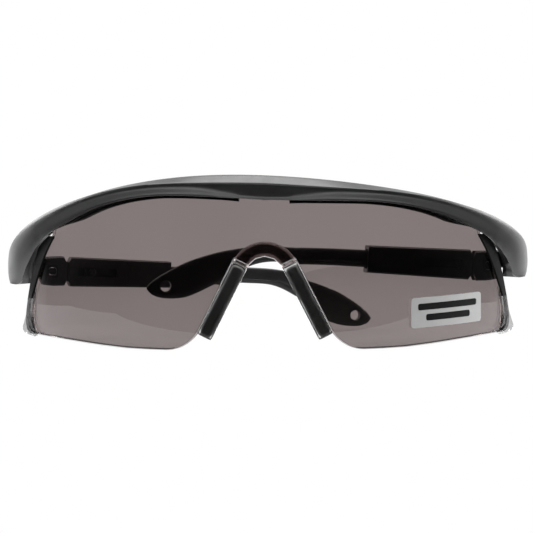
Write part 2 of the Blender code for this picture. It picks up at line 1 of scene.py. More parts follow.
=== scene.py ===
"""Looks of the folded safety glasses: fine meshes, materials, light and camera round the frame."""
import json
import math

import bmesh
import bpy
from mathutils import Matrix, Vector


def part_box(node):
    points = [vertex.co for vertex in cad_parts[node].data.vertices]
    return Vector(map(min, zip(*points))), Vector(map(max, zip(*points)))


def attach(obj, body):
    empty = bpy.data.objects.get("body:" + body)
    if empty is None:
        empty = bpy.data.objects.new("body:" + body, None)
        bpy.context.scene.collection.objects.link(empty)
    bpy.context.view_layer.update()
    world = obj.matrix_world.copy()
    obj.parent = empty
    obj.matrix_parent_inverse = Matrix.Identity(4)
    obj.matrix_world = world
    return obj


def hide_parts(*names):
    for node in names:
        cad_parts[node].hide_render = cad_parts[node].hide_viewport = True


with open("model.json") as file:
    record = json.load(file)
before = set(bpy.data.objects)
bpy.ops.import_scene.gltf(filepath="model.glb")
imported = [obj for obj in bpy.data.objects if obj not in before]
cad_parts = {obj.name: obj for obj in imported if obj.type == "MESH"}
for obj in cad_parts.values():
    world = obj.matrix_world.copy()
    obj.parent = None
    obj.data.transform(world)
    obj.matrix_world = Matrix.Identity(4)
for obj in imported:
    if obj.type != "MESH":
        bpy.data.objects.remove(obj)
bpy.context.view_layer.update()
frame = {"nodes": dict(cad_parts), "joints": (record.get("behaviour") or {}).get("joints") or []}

MM = 0.001

# ---- driving dimensions, in metres; places come from the frame -----------------------------------
FRONT_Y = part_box("lens")[0].y
JOINTS = {joint["name"]: joint for joint in frame["joints"]}
SIDES = {"left": 1.0, "right": -1.0}

LENS_THICKNESS = 2.2 * MM
LENS_ARCS = ((88.0 * MM, 49.5), (12.0 * MM, 66.0))  # (radius, tangent angle at the arc's end)
BROW_PROUD = 2.4 * MM  # how far the bar's face stands in front of the lens
BROW_ARCS = ((90.4 * MM, 52.8), (22.1 * MM, 90.0))
BROW_CREST, BROW_HALF_WIDTH = 47.6 * MM, 76.5 * MM
BROW_DROP = 26.5 * MM  # the top outline is half an ellipse with this half height, filled out by
BROW_FULLNESS = 0.88  # this power of its cosine
BROW_SKEW, SKEW_SPAN = 0.95 * MM, 70.0 * MM  # the bar bows up on the right and down on the left
FACET_SPREAD = 28.0 * MM  # the top facet thins out over this length
GROOVE_UP = 2.2 * MM
BOSS_RADIUS, BOSS_LOW, BOSS_HIGH = 2.9 * MM, 16.4 * MM, 26.5 * MM
KNUCKLE_HOLLOW = (2.3 * MM, 18.3 * MM, 24.6 * MM)  # radius, low, high
HOOK_RISE = {"left": 1.3 * MM, "right": 0.0}
KNUCKLE_TURN = (-15.0, 96.5)  # the hook leaves room for the hinge block between these angles
PIN_BORE = 1.05 * MM
TILT_PIVOT = 10.0 * MM
ARM_HALF_THICKNESS = 2.2 * MM
STEM_HALF_THICKNESS = 1.1 * MM
LANYARD_HOLE, LANYARD_RADIUS = (103.0 * MM, -10.9 * MM), 1.55 * MM
BUTTON_X, BUTTON_SEAT = 18.9 * MM, 1.3 * MM


# ---- materials -----------------------------------------------------------------------------------
NOISE_SPREAD = 0.2  # nearly all of a noise value lies this close to its middle


def new_material(name):
    made = bpy.data.materials.new(name)
    made.use_nodes = True
    return made, made.node_tree, made.node_tree.nodes["Principled BSDF"]


def noise(tree, scale, detail=3.0, stretch=(1.0, 1.0, 1.0)):
    """A noise value from the piece's own coordinates, in features per metre."""
    place = tree.nodes.new("ShaderNodeTexCoord")
    mapping = tree.nodes.new("ShaderNodeMapping")
    mapping.inputs["Scale"].default_value = stretch
    texture = tree.nodes.new("ShaderNodeTexNoise")
    texture.inputs["Scale"].default_value = scale
    texture.inputs["Detail"].default_value = detail
    tree.links.new(place.outputs["Object"], mapping.inputs["Vector"])
    tree.links.new(mapping.outputs["Vector"], texture.inputs["Vector"])
    return texture.outputs["Fac"]


def ranged(tree, value, low, high):
    """The noise value stretched to run from low to high."""
    node = tree.nodes.new("ShaderNodeMapRange")
    node.inputs["From Min"].default_value = 0.5 - NOISE_SPREAD
    node.inputs["From Max"].default_value = 0.5 + NOISE_SPREAD
    node.inputs["To Min"].default_value = low
    node.inputs["To Max"].default_value = high
    tree.links.new(value, node.inputs["Value"])
    return node.outputs["Result"]


def tinted(tree, value, dark, light, shader):
    """Base colour between two tones."""
    mix = tree.nodes.new("ShaderNodeMix")
    mix.data_type = "RGBA"
    mix.inputs["A"].default_value = (*dark, 1.0)
    mix.inputs["B"].default_value = (*light, 1.0)
    tree.links.new(ranged(tree, value, 0.0, 1.0), mix.inputs["Factor"])
    tree.links.new(mix.outputs["Result"], shader.inputs["Base Color"])


def bumped(tree, value, depth, shader):
    """Fine relief from the noise value, with its depth in metres."""
    bump = tree.nodes.new("ShaderNodeBump")
    bump.inputs["Strength"].default_value = 1.0
    bump.inputs["Distance"].default_value = depth
    tree.links.new(value, bump.inputs["Height"])
    tree.links.new(bump.outputs["Normal"], shader.inputs["Normal"])


def moulded_plastic(name, dark, light, roughness, grain, depth, specular):
    """Satin plastic with a fine spark-eroded grain and a slow change of tone."""
    made, tree, shader = new_material(name)
    shader.inputs["Specular IOR Level"].default_value = specular
    shader.inputs["IOR"].default_value = 1.5
    tinted(tree, noise(tree, 90.0), dark, light, shader)
    tree.links.new(ranged(tree, noise(tree, 260.0), *roughness), shader.inputs["Roughness"])
    bumped(tree, noise(tree, grain, 4.0), depth, shader)
    return made


def clear_plastic(name, dark, light, ior, roughness, clearness):
    """See-through plastic; its tint and polish change slightly over the moulding."""
    made, tree, shader = new_material(name)
    shader.inputs["Transmission Weight"].default_value = clearness
    shader.inputs["IOR"].default_value = ior
    tinted(tree, noise(tree, 25.0, 1.0), dark, light, shader)
    tree.links.new(ranged(tree, noise(tree, 60.0), *roughness), shader.inputs["Roughness"])
    return made


def steel(name, dark, light):
    """Turned steel, its fine marks running round the piece."""
    made, tree, shader = new_material(name)
    shader.inputs["Metallic"].default_value = 1.0
    tinted(tree, noise(tree, 300.0), dark, light, shader)
    turned = noise(tree, 4000.0, 2.0, (0.1, 0.1, 3.0))
    tree.links.new(ranged(tree, turned, 0.22, 0.4), shader.inputs["Roughness"])
    bumped(tree, turned, 0.004 * MM, shader)
    return made


MOULDED = {  # name: (dark tone, light tone, roughness, grains per metre, their depth, specular)
    "brow_nylon": (
        (0.010, 0.010, 0.0105), (0.017, 0.017, 0.0175), (0.28, 0.36), 5200.0, 0.006 * MM, 0.5),
    "temple_nylon": (
        (0.008, 0.0075, 0.008), (0.014, 0.013, 0.014), (0.3, 0.4), 6000.0, 0.006 * MM, 0.5),
    "strip_nylon": (
        (0.004, 0.004, 0.004), (0.007, 0.007, 0.007), (0.6, 0.7), 5200.0, 0.006 * MM, 0.12),
    "pad_rubber": (
        (0.075, 0.074, 0.075), (0.095, 0.094, 0.095), (0.42, 0.55), 8000.0, 0.005 * MM, 0.35),
    "label_film": (
        (0.58, 0.585, 0.58), (0.64, 0.645, 0.64), (0.45, 0.6), 2500.0, 0.006 * MM, 0.5),
    "label_ink": (
        (0.004, 0.004, 0.0042), (0.008, 0.008, 0.0082), (0.5, 0.65), 2500.0, 0.004 * MM, 0.15),
}
CLEAR = {  # name: (dark tint, light tint, index of refraction, roughness, clearness)
    "lens_smoke": ((0.243, 0.205, 0.202), (0.256, 0.216, 0.213), 1.58, (0.0, 0.02), 1.0),
    "rim_smoke": ((0.24, 0.24, 0.245), (0.29, 0.29, 0.295), 1.1, (0.02, 0.06), 1.0),
    # dark smoke for the moulded step lines and also for the painted shadow line along the lens's
    # lower edge
    "line_and_shadow_smoke": ((0.13, 0.12, 0.12), (0.18, 0.17, 0.17), 1.4, (0.05, 0.1), 1.0),
    # the nose arch's brownish dark tint and part-opaque body are painted shade, standing in for the
    # dark that its clear plastic shows by refraction
    "nose_arch_painted_shade": ((0.38, 0.32, 0.31), (0.46, 0.39, 0.38), 1.49, (0.01, 0.06), 0.75),
    "fin_plastic": ((0.4, 0.4, 0.4), (0.56, 0.56, 0.56), 1.08, (0.02, 0.06), 1.0),
    "clear_plastic": ((0.66, 0.66, 0.65), (0.76, 0.76, 0.75), 1.49, (0.01, 0.06), 1.0),
}
STEELS = {  # name: (dark tone, light tone)
    "steel": ((0.36, 0.36, 0.37), (0.52, 0.52, 0.53)),
    "steel_black": ((0.02, 0.02, 0.021), (0.035, 0.035, 0.036)),
}
MATERIALS = {name: moulded_plastic(name, *look) for name, look in MOULDED.items()}
MATERIALS |= {name: clear_plastic(name, *look) for name, look in CLEAR.items()}
MATERIALS |= {name: steel(name, *look) for name, look in STEELS.items()}


# ---- mesh helpers --------------------------------------------------------------------------------
def make_piece(name, bm, material, body, stands_for=(), sharp=38.0, rounding=0.0):
    """Finish a piece: outward faces, smooth shading, a material, a body and what it replaces."""
    bmesh.ops.remove_doubles(bm, verts=bm.verts, dist=1e-7)
    bmesh.ops.recalc_face_normals(bm, faces=bm.faces)
    mesh = bpy.data.meshes.new(name)
    bm.to_mesh(mesh)
    bm.free()
    mesh.shade_smooth()
    mesh.set_sharp_from_angle(angle=math.radians(sharp))
    mesh.materials.append(MATERIALS[material])
    piece = bpy.data.objects.new(name, mesh)
    bpy.context.scene.collection.objects.link(piece)
    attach(piece, body)
    if stands_for:
        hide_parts(*stands_for)
    if rounding:
        bevel = piece.modifiers.new("rounded_edges", "BEVEL")
        bevel.width = rounding
        bevel.segments = 3
        bevel.limit_method = "ANGLE"
        bevel.angle_limit = math.radians(35.0)
    piece.modifiers.new("even_shading", "WEIGHTED_NORMAL").keep_sharp = True


def loft(rings):
    """A closed body through equal rings of points, with flat ends."""
    bm = bmesh.new()
    rows = [[bm.verts.new(point) for point in ring] for ring in rings]
    count = len(rows[0])
    for near, far in zip(rows, rows[1:]):
        for i in range(count):
            j = (i + 1) % count
            bm.faces.new((near[i], near[j], far[j], far[i]))
    bm.faces.new(rows[0])
    bm.faces.new(reversed(rows[-1]))
    return bm


def boolean(bm, tool, operation):
    """bm combined with another closed bmesh, both used up."""
    objects = []
    for part in (bm, tool):
        bmesh.ops.recalc_face_normals(part, faces=part.faces)
        mesh = bpy.data.meshes.new("working")
        part.to_mesh(mesh)
        part.free()
        item = bpy.data.objects.new("working", mesh)
        bpy.context.scene.collection.objects.link(item)
        objects.append(item)
    target, cutter = objects
    modifier = target.modifiers.new("working", "BOOLEAN")
    modifier.operation = operation
    modifier.solver = "EXACT"
    modifier.object = cutter
    bpy.context.view_layer.update()
    evaluated = target.evaluated_get(bpy.context.evaluated_depsgraph_get())
    joined = bmesh.new()
    joined.from_mesh(evaluated.to_mesh())
    evaluated.to_mesh_clear()
    for item in objects:
        mesh = item.data
        bpy.data.objects.remove(item)
        bpy.data.meshes.remove(mesh)
    return joined


def refine(name, material, rounding, body):
    """Make a piece with a CAD solid's own shape, with merged facets and rounded edges."""
    bm = bmesh.new()
    bm.from_mesh(frame["nodes"][name].data)
    bmesh.ops.remove_doubles(bm, verts=bm.verts, dist=2e-6)
    bmesh.ops.dissolve_limit(bm, angle_limit=math.radians(1.5), verts=bm.verts, edges=bm.edges)
    make_piece(name + "_fine", bm, material, body, (name,), 30.0, rounding)


def circle(radius, segments=48):
    turns = [2 * math.pi * i / segments for i in range(segments)]
    return [(radius * math.cos(turn), radius * math.sin(turn)) for turn in turns]


def prism_y(outline, low, high):
    """An outline in the XZ plane, pulled from y = low to y = high."""
    return loft([[Vector((x, y, z)) for x, z in outline] for y in (low, high)])


def prism_z(outline, low, high):
    """An outline in the XY plane, pulled from z = low to z = high."""
    return loft([[Vector((x, y, z)) for x, y in outline] for z in (low, high)])


def rounded_rectangle(a0, a1, b0, b1, radius, steps=5):
    """Points round a rectangle with rounded corners."""
    radius = min(radius, (a1 - a0) * 0.49, (b1 - b0) * 0.49)
    points = []
    corners = ((a1 - radius, b1 - radius), (a0 + radius, b1 - radius),
               (a0 + radius, b0 + radius), (a1 - radius, b0 + radius))
    for quarter, (a, b) in enumerate(corners):
        for i in range(steps + 1):
            turn = math.pi / 2 * (quarter + i / steps)
            points.append((a + radius * math.cos(turn), b + radius * math.sin(turn)))
    return points


def smooth_curve(points, steps):
    """A Catmull-Rom curve through the points, each a tuple of numbers."""
    ends = [points[0], *points, points[-1]]
    curve = []
    for a, b, c, d in zip(ends, ends[1:], ends[2:], ends[3:]):
        for i in range(steps):
            t = i / steps
            curve.append(
                tuple(
                    0.5 * (2 * q + (r - p) * t + (2 * p - 5 * q + 4 * r - s) * t**2
                           + (3 * q - p - 3 * r + s) * t**3)
                    for p, q, r, s in zip(a, b, c, d)
                )
            )
    curve.append(tuple(points[-1]))
    return curve


def between(table, x):
    """Straight interpolation in a table of (x, value) pairs in rising x."""
    if x <= table[0][0]:
        return table[0][1]
    for (x0, v0), (x1, v1) in zip(table, table[1:]):
        if x <= x1:
            return v0 + (v1 - v0) * (x - x0) / (x1 - x0)
    return table[-1][1]


def eased(low, high, x):
    """0 below low, 1 above high, and a smooth rise between."""
    t = min(max((x - low) / (high - low), 0.0), 1.0)
    return t * t * (3.0 - 2.0 * t)


# ---- plan curves: the glasses seen from above ----------------------------------------------------
def plan_point(arcs, front_y, s, depth):
    """The point a length s along a wrapped curve and a depth behind it, as (x, y)."""
    side = 1.0 if s >= 0 else -1.0
    left = abs(s)
    x, y, angle = 0.0, front_y, 0.0
    for radius, end in arcs:
        step = min(left, radius * (math.radians(end) - angle))
        turned = angle + step / radius
        x += radius * (math.sin(turned) - math.sin(angle))
        y += radius * (math.cos(angle) - math.cos(turned))
        left -= step
        angle = turned
    x += left * math.cos(angle) - depth * math.sin(angle)
    y += left * math.sin(angle) + depth * math.cos(angle)
    return side * x, y


def plan_length(arcs, x):
    """The length along the curve at which it reaches x, which lies on one of its arcs."""
    start, angle, length = 0.0, 0.0, 0.0
    for radius, end in arcs:
        end = math.radians(end)
        reach = start + radius * (math.sin(end) - math.sin(angle))
        if x <= reach:
            turned = math.asin((x - start) / radius + math.sin(angle))
            return length + radius * (turned - angle)
        length += radius * (end - angle)
        start, angle = reach, end
    return length + (x - start) / math.cos(angle)


def lens_point(s, depth, z):
    x, y = plan_point(LENS_ARCS, FRONT_Y, s, depth)
    return Vector((x, y, z))


def brow_point(s, depth, z):
    x, y = plan_point(BROW_ARCS, FRONT_Y - BROW_PROUD, s, depth)
    return Vector((x, y, z))


# ---- brow bar ------------------------------------------------------------------------------------
# Each row pairs an angle round the top outline's ellipse with the point (x, z) straight across
# the bar on its lower outline.  The last rows run down the inner side of the hook.
BROW_LOWER = [
    (0.0, 0.0, 41.0), (18.3, 24.0, 41.35), (27.0, 34.0, 40.85), (35.0, 42.6, 39.4),
    (43.0, 49.8, 37.2), (51.0, 56.0, 34.3), (65.0, 63.8, 29.4), (79.0, 68.6, 22.8),
    (93.0, 71.2, 17.4), (100.0, 73.2, 16.3),
]
# How far along the bar, in mm, its parts start and end.
LIP_START, LIP_END = 7.2, 66.0
HOOK_START, HOOK_END = 56.0, 74.0
GROOVE_END = 70.0


def skew(x):
    """How far the bar lies above its even height at x, positive on the wearer's left."""
    reach = min(max(x, -SKEW_SPAN), SKEW_SPAN)
    return -BROW_SKEW * math.sin(math.pi * reach / SKEW_SPAN)


def lower_edge(x):
    """Height of the bar's lower edge at x, positive on the wearer's left."""
    table = [(px * MM, pz * MM) for _, px, pz in smooth_curve(BROW_LOWER, 8)]
    return between(table, abs(x)) + skew(x)


def brow_section(height, facet, lip, groove, along):
    """(height above the lower edge, depth behind the face) all round the bar, in mm."""
    outward, hooked = eased(3.0, 20.0, along), eased(HOOK_START, HOOK_END, along)
    turned = 0.3 + 0.4 * outward - 0.2 * hooked  # how far the face turns under at its lower edge
    bend, spread = 0.06 + 0.32 * outward, 0.1 + 0.25 * outward  # where, as parts of its height
    lean, rim = 0.25 - 0.1 * hooked, 3.6 - 2.3 * hooked  # depths of the top facet's two edges
    cut = 0.065 * hooked * height  # how far the underside slopes up, per mm of depth
    edge = height - facet
    section = [(0.12 + 2.1 * cut, 2.1), (2.0 * cut, 1.98), (1.3 * cut, 1.3), (0.04 + cut, 1.0)]
    steps = 16
    for i in range(steps + 1):
        t = i / steps
        below = turned * (1.0 - eased(bend - spread, bend + spread, t))
        above = lean * max((t - 0.8) / 0.2, 0.0) ** 2
        section.append((0.15 + (edge - 0.15) * t, below + above))
    for t in (0.06, 0.3, 0.6, 0.85, 0.96):
        section.append((edge + facet * t * (1.08 - 0.08 * t), lean + 0.03 + (rim - lean) * t))
    crown = ((0.0, 0.12), (0.06, 0.3), (0.22, 0.5), (0.5, 0.7), (0.9, 0.86), (1.4, 0.96), (2.0, 1.0))
    section += [(height - drop, rim + 0.2 + (6.2 - rim) * depth) for drop, depth in crown]
    section += [(max(0.5, 7.0 * cut / height + 0.1) * height, 6.4), (6.4 * cut + 0.25 - lip, 6.4),
                (6.3 * cut + 0.06 - lip, 6.32), (6.15 * cut - lip, 6.15), (5.1 * cut - lip, 5.1),
                (5.0 * cut + 0.1 - lip, 4.92), (4.9 * cut + groove, 4.9), (2.1 * cut + groove, 2.1)]
    return section


def brow_ring(row, side):
    """The bar's section at one row, as points in the frame."""
    s_top, z_top, s_low, z_low = row
    height = math.hypot(s_top - s_low, z_top - z_low) / MM
    facet = 0.6 + 1.5 / (1.0 + (s_top / FACET_SPREAD) ** 4)
    along = s_low / MM
    if along > LIP_START:
        lip = 0.75 + 0.15 * (1.0 - eased(LIP_START, LIP_START + 3.0, along))
        lip *= 1.0 - eased(HOOK_START, LIP_END, along)
    else:  # the gap in the lip, with a faint moulding mark in its middle
        lip = 0.12 * (1.0 - eased(0.6, 1.4, along))
    groove = GROOVE_UP / MM if along < GROOVE_END else 0.13
    ring = []
    for rise, depth in brow_section(height, facet, lip, groove, along):
        fraction = rise / height
        s = s_low + (s_top - s_low) * fraction
        z = z_low + (z_top - z_low) * fraction
        ring.append(brow_point(side * s, depth * MM, z))
    return ring


def brow_row(side, rise, turn, low_x, low_z):
    """(s_top, z_top, s_low, z_low) for one angle round the top outline, in radians."""
    rise *= eased(math.radians(62.0), math.radians(86.0), turn)
    top_x = BROW_HALF_WIDTH * math.sin(turn) * 0.9995
    level = math.cos(turn)
    level = level**BROW_FULLNESS if level > 0.0 else level
    top_z = BROW_CREST - BROW_DROP * (1.0 - level) + skew(side * top_x) + rise
    low_z += skew(side * low_x) + rise
    return plan_length(BROW_ARCS, top_x), top_z, plan_length(BROW_ARCS, low_x), low_z


def brow_rows(side, rise):
    """Rows from the middle of the bar to the tip of its hook."""
    rows = [brow_row(side, rise, math.radians(turn), x * MM, z * MM)
            for turn, x, z in smooth_curve(BROW_LOWER, 10)]
    for x in (LIP_START - 0.05, LIP_START + 0.05):
        x *= MM
        turn = math.asin(x / BROW_HALF_WIDTH)
        rows.append(brow_row(side, rise, turn, x, lower_edge(x) - skew(x)))
    return sorted(rows, key=lambda row: row[2])


def boss_profile():
    """(radius, height) up the hinge's boss, with a domed bottom and a domed top."""
    turns = [math.pi / 2 * i / 8 for i in range(9)]
    foot, inset, crown = 1.5 * MM, 1.8 * MM, 3.0 * MM
    profile = [(BOSS_RADIUS - foot * (1 - math.sin(turn)), BOSS_LOW + foot * (1 - math.cos(turn)))
               for turn in turns]
    profile += [
        (BOSS_RADIUS - inset * (1 - math.cos(turn)), BOSS_HIGH - crown * (1 - math.sin(turn)))
        for turn in turns
    ]
    return profile


def hook_cutters(side, hinge, rise):
    """The hinge's boss, then what is cut out of the hook, as (operation, bmesh)."""
    rings = [[Vector((hinge.x + x, hinge.y + y, rise + z)) for x, y in circle(radius)]
             for radius, z in boss_profile()]
    radius, low, high = KNUCKLE_HOLLOW
    low, high = rise + low, rise + high
    hollow = [(hinge.x + x, hinge.y + y) for x, y in circle(radius)]
    half, reach = 1.95 * MM, 14.0 * MM  # of the room cut for the hinge block's neck
    lean, opened = (math.radians(turn) for turn in KNUCKLE_TURN)
    folded_way = Vector((-math.cos(lean), math.sin(lean)))
    open_way = Vector((-math.cos(opened), math.sin(opened)))
    front = half * Vector((-folded_way.y, folded_way.x))
    outside = half * Vector((open_way.y, -open_way.x))
    corners = (front, front + reach * folded_way, reach * Vector((-1.0, 1.0)),
               outside + reach * open_way, outside)
    wedge = [(hinge.x + side * corner.x, hinge.y + corner.y) for corner in corners]
    bore = [(hinge.x + x, hinge.y + y) for x, y in circle(PIN_BORE, 32)]
    peep_x, peep_z = side * 72.6 * MM, rise + 17.45 * MM  # a small hole low in the hook's face
    peep = [(peep_x + 0.62 * x, peep_z + 0.4 * z) for x, z in circle(1.0 * MM, 32)]
    return (
        ("UNION", loft(rings)),
        ("DIFFERENCE", prism_z(wedge, low - 0.02 * MM, high + 0.02 * MM)),
        ("DIFFERENCE", prism_z(hollow, low, high)),
        ("DIFFERENCE", prism_z(bore, rise + BOSS_LOW - 1.0 * MM, rise + BOSS_HIGH - 0.8 * MM)),
        ("DIFFERENCE", prism_y(peep, hinge.y - 7.0 * MM, hinge.y - 1.6 * MM)),
    )


def build_brow():
    left, right = [[brow_ring(row, side) for row in brow_rows(side, HOOK_RISE[name])]
                   for name, side in SIDES.items()]
    bm = loft(right[:0:-1] + left)
    for name, side in SIDES.items():
        hinge = Vector(JOINTS["fold_" + name]["pos_m"])
        for operation, tool in hook_cutters(side, hinge, HOOK_RISE[name]):
            bm = boolean(bm, tool, operation)
    make_piece("brow_bar_fine", bm, "brow_nylon", "front", ("brow_bar",))


# ---- lens ----------------------------------------------------------------------------------------
# Its outline as (length along the lens, height) in mm, from the nose notch round to the top corner.
LENS_NOTCH = [(0.0, 25.7), (2.5, 25.0), (4.4, 23.3), (8.3, 25.1), (8.62, 24.5)]
LENS_LOBE = [(17.95, 6.2), (19.2, 4.2), (21.2, 2.3), (23.6, 0.85), (25.6, 0.2), (27.5, 0.0)]
LENS_FOOT = [(33.0, 0.0), (40.0, 0.1), (48.0, 0.55), (58.0, 1.25), (68.0, 1.85)]
LENS_CORNER = [(75.0, 2.15), (76.6, 2.35), (78.2, 2.95), (79.7, 4.1), (80.5, 5.4)]
LENS_SIDE = [(66.5, 31.8), (67.2, 30.0), (69.8, 28.2), (71.8, 26.7), (74.1, 23.4), (76.2, 19.3),
             (77.8, 14.6), (79.3, 11.5), (80.3, 9.0), (80.75, 6.8)]


def lens_columns(side):
    """(s, low, high) in mm along one half of the lens."""
    lower = LENS_NOTCH + smooth_curve(LENS_LOBE, 6) + LENS_FOOT + smooth_curve(LENS_CORNER, 5)
    side_top = LENS_SIDE[:1] + smooth_curve(LENS_SIDE[1:], 5)
    stops = {s for s, _ in lower} | {s for s, _ in side_top}
    stops |= {float(s) for s in range(1, 80)}
    columns = []
    for s in sorted(stops):
        x, _ = plan_point(LENS_ARCS, 0.0, side * s * MM, -BROW_PROUD)
        in_groove = (lower_edge(x) + GROOVE_UP) / MM - 0.5
        top = in_groove if s < LENS_SIDE[0][0] else between(side_top, s)
        columns.append((s, between(lower, s), top))
    return [c for i, c in enumerate(columns) if i == 0 or c[0] - columns[i - 1][0] > 0.04]


def edge_rounded(low, high, steepness, near, far, radius):
    """A tall thin section, (depth, z) in mm, whose corners are rounded square to a sloping edge."""
    lift = min(radius * steepness, (high - low) * 0.4)
    section = []
    for i in range(5):
        turn = math.pi / 2 * i / 4
        section.append((near + radius * (1 - math.sin(turn)), low + lift * (1 - math.cos(turn))))
    section.reverse()
    for i in range(5):
        turn = math.pi / 2 * i / 4
        section.append((near + radius * (1 - math.cos(turn)), high - radius * (1 - math.sin(turn))))
    back = [(near + far - depth, z) for depth, z in reversed(section)]
    return section + back


def lens_half(side):
    """Rings of points from the middle of the lens to its side edge."""
    columns = lens_columns(side)
    rings = []
    for i, (s, low, high) in enumerate(columns):
        before = columns[max(i - 1, 0)]
        after = columns[min(i + 1, len(columns) - 1)]
        slope = (after[1] - before[1]) / max(after[0] - before[0], 0.01)
        steepness = min(math.hypot(1.0, slope), 3.0)
        section = edge_rounded(low, high, steepness, 0.0, LENS_THICKNESS / MM, 0.3)
        rings.append([lens_point(side * s * MM, d * MM, z * MM) for d, z in section])
    return rings


def build_lens():
    left, right = lens_half(1.0), lens_half(-1.0)
    make_piece("lens_fine", loft(right[:0:-1] + left), "lens_smoke", "front",
               ("lens",), 30.0)


# ---- nose piece ----------------------------------------------------------------------------------
NOSE_ARCH_CENTRE_Z, NOSE_ARCH_RADIUS = 20.15 * MM, 7.4 * MM
NOSE_LEAN = math.radians(26.9)
NOSE_LEG_LENGTH = 22.1 * MM
NOSE_WIDTH, PAD_WIDTH = 4.2 * MM, 3.5 * MM


def nose_leg_ends():
    """(x, z) in the middle of the left leg's shoulder and of its foot."""
    shoulder = (NOSE_ARCH_RADIUS * math.cos(NOSE_LEAN),
                NOSE_ARCH_CENTRE_Z + NOSE_ARCH_RADIUS * math.sin(NOSE_LEAN))
    foot = (shoulder[0] + NOSE_LEG_LENGTH * math.sin(NOSE_LEAN),
            shoulder[1] - NOSE_LEG_LENGTH * math.cos(NOSE_LEAN))
    return shoulder, foot


def across_ring(side, centre, lean, width, near, far, radius):
    """A rounded rectangle straight across a leg or the arch."""
    ring = []
    for a, y in rounded_rectangle(-width / 2, width / 2, near, far, radius):
        x, z = centre[0] + a * math.cos(lean), centre[1] + a * math.sin(lean)
        ring.append(Vector((side * x, y, z)))
    return ring


def build_nose_bridge():
    """Two clear legs and an arch, which is rounder and set further back; the arch's darker brownish
    tint is painted shade for the dark its clear plastic shows by refraction.
    """
    shoulder, foot = nose_leg_ends()
    leg_near, arch_near, far = (FRONT_Y + y * MM for y in (0.6, 2.8, 5.2))
    half = []
    for along, shrink in ((0.0, 0.55), (0.12, 0.2), (0.35, 0.05), (0.7, 0.0)):  # its round foot
        centre = [f + (s - f) * along * MM / NOSE_LEG_LENGTH for s, f in zip(shoulder, foot)]
        half.append(across_ring(1.0, centre, NOSE_LEAN, NOSE_WIDTH - 2 * shrink * MM,
                                leg_near + shrink * MM, far - shrink * MM, 0.35 * MM))
    for back, t in ((0.5, 0.0), (0.25, 0.08), (0.1, 0.4), (0.05, 1.0)):  # the step up to the arch
        centre = (shoulder[0] + back * MM * math.sin(NOSE_LEAN),
                  shoulder[1] - back * MM * math.cos(NOSE_LEAN))
        half.append(across_ring(1.0, centre, NOSE_LEAN, NOSE_WIDTH,
                                leg_near + (arch_near - leg_near) * t, far, 0.35 * MM))
    for name, side in SIDES.items():
        rings = [[Vector((side * p.x, p.y, p.z)) for p in ring] for ring in half]
        make_piece("nose_leg_" + name, loft(rings), "clear_plastic", "front",
                   ("nose_bridge",), 30.0)
    arch, count = [], 40
    for i in range(count + 1):
        turn = NOSE_LEAN + (math.pi - 2 * NOSE_LEAN) * i / count
        centre = (NOSE_ARCH_RADIUS * math.cos(turn),
                  NOSE_ARCH_CENTRE_Z + NOSE_ARCH_RADIUS * math.sin(turn))
        arch.append(across_ring(1.0, centre, turn, NOSE_WIDTH, arch_near, far, 1.15 * MM))
    # the arch gets the painted-shade tint in place of the legs' clear plastic
    make_piece("nose_arch", loft(arch), "nose_arch_painted_shade", "front",
               ("nose_bridge",), 30.0)


def build_nose_pads():
    """Moulded rubber pads with soft corners and a faint hollow down each side."""
    shoulder, foot = nose_leg_ends()
    near, far = FRONT_Y + 5.5 * MM, FRONT_Y + 11.5 * MM
    stations = ((0.05, 0.7), (0.055, 0.45), (0.065, 0.2), (0.08, 0.05), (0.1, 0.0), (0.3, -0.02),
                (0.5, 0.06), (0.7, 0.02), (0.9, 0.0), (0.94, 0.05), (0.965, 0.18), (0.985, 0.42),
                (0.996, 0.8), (1.0, 1.1))
    for name, side in SIDES.items():
        rings = []
        for along, shrink in stations:
            centre = [a + (b - a) * along for a, b in zip(shoulder, foot)]
            rings.append(across_ring(side, centre, NOSE_LEAN, PAD_WIDTH - 2 * shrink * MM,
                                     near + 0.5 * shrink * MM, far - shrink * MM, 0.9 * MM))
        make_piece("nose_pad_fine_" + name, loft(rings), "pad_rubber", "front",
                   ("nose_pad_" + name,), 50.0)


# ---- what is fixed to the lens -------------------------------------------------------------------
def film(name, corner, outline, near, far, material, stands_for=()):
    """A thin film that follows the lens; outline is (s0, s1, z0, z1, rise across) in mm."""
    s0, s1, z0, z1, rise = outline
    count = 40
    stops = [corner * (1 - math.cos(math.pi / 2 * i / 6)) for i in range(7)]
    stops += [corner + (s1 - s0 - 2 * corner) * i / count for i in range(1, count)]
    stops += [s1 - s0 - stop for stop in reversed(stops[:7])]
    rings = []
    for stop in stops:
        inset = corner - min(stop, s1 - s0 - stop, corner)
        cut = corner - math.sqrt(max(corner**2 - inset**2, 0.0)) if inset > 0 else 0.0
        lift = rise * stop / (s1 - s0)
        low, high = z0 + lift + cut * 0.98, z1 + lift - cut * 0.98
        rings.append([lens_point((s0 + stop) * MM, depth * MM, z * MM)
                      for depth, z in ((near, low), (near, high), (far, high), (far, low))])
    make_piece(name, loft(rings), material, "front", stands_for, 30.0)


LABEL = (41.4, 66.4, 5.2, 13.5, 0.9)
LABEL_BARS = {"upper": (43.6, 64.4, 10.1, 11.9, 0.75), "lower": (46.2, 61.8, 7.2, 9.0, 0.56)}


def build_label():
    """A plain film label with two printed bars in place of its words."""
    film("lens_label_fine", 0.9, LABEL, -0.5, -0.3, "label_film", ("lens_label",))
    for name, outline in LABEL_BARS.items():
        film("label_bar_" + name, 0.55, outline, -0.53, -0.49, "label_ink")


STRIP_ROWS = [  # (height, inner edge, outer edge) measured along the lens, in mm
    (12.6, 76.1, 78.2), (14.8, 75.0, 77.4), (19.5, 72.6, 75.8), (23.7, 70.2, 74.0),
    (26.7, 68.2, 72.6), (28.4, 66.9, 71.0), (29.6, 66.0, 69.4), (30.7, 65.2, 67.4),
]


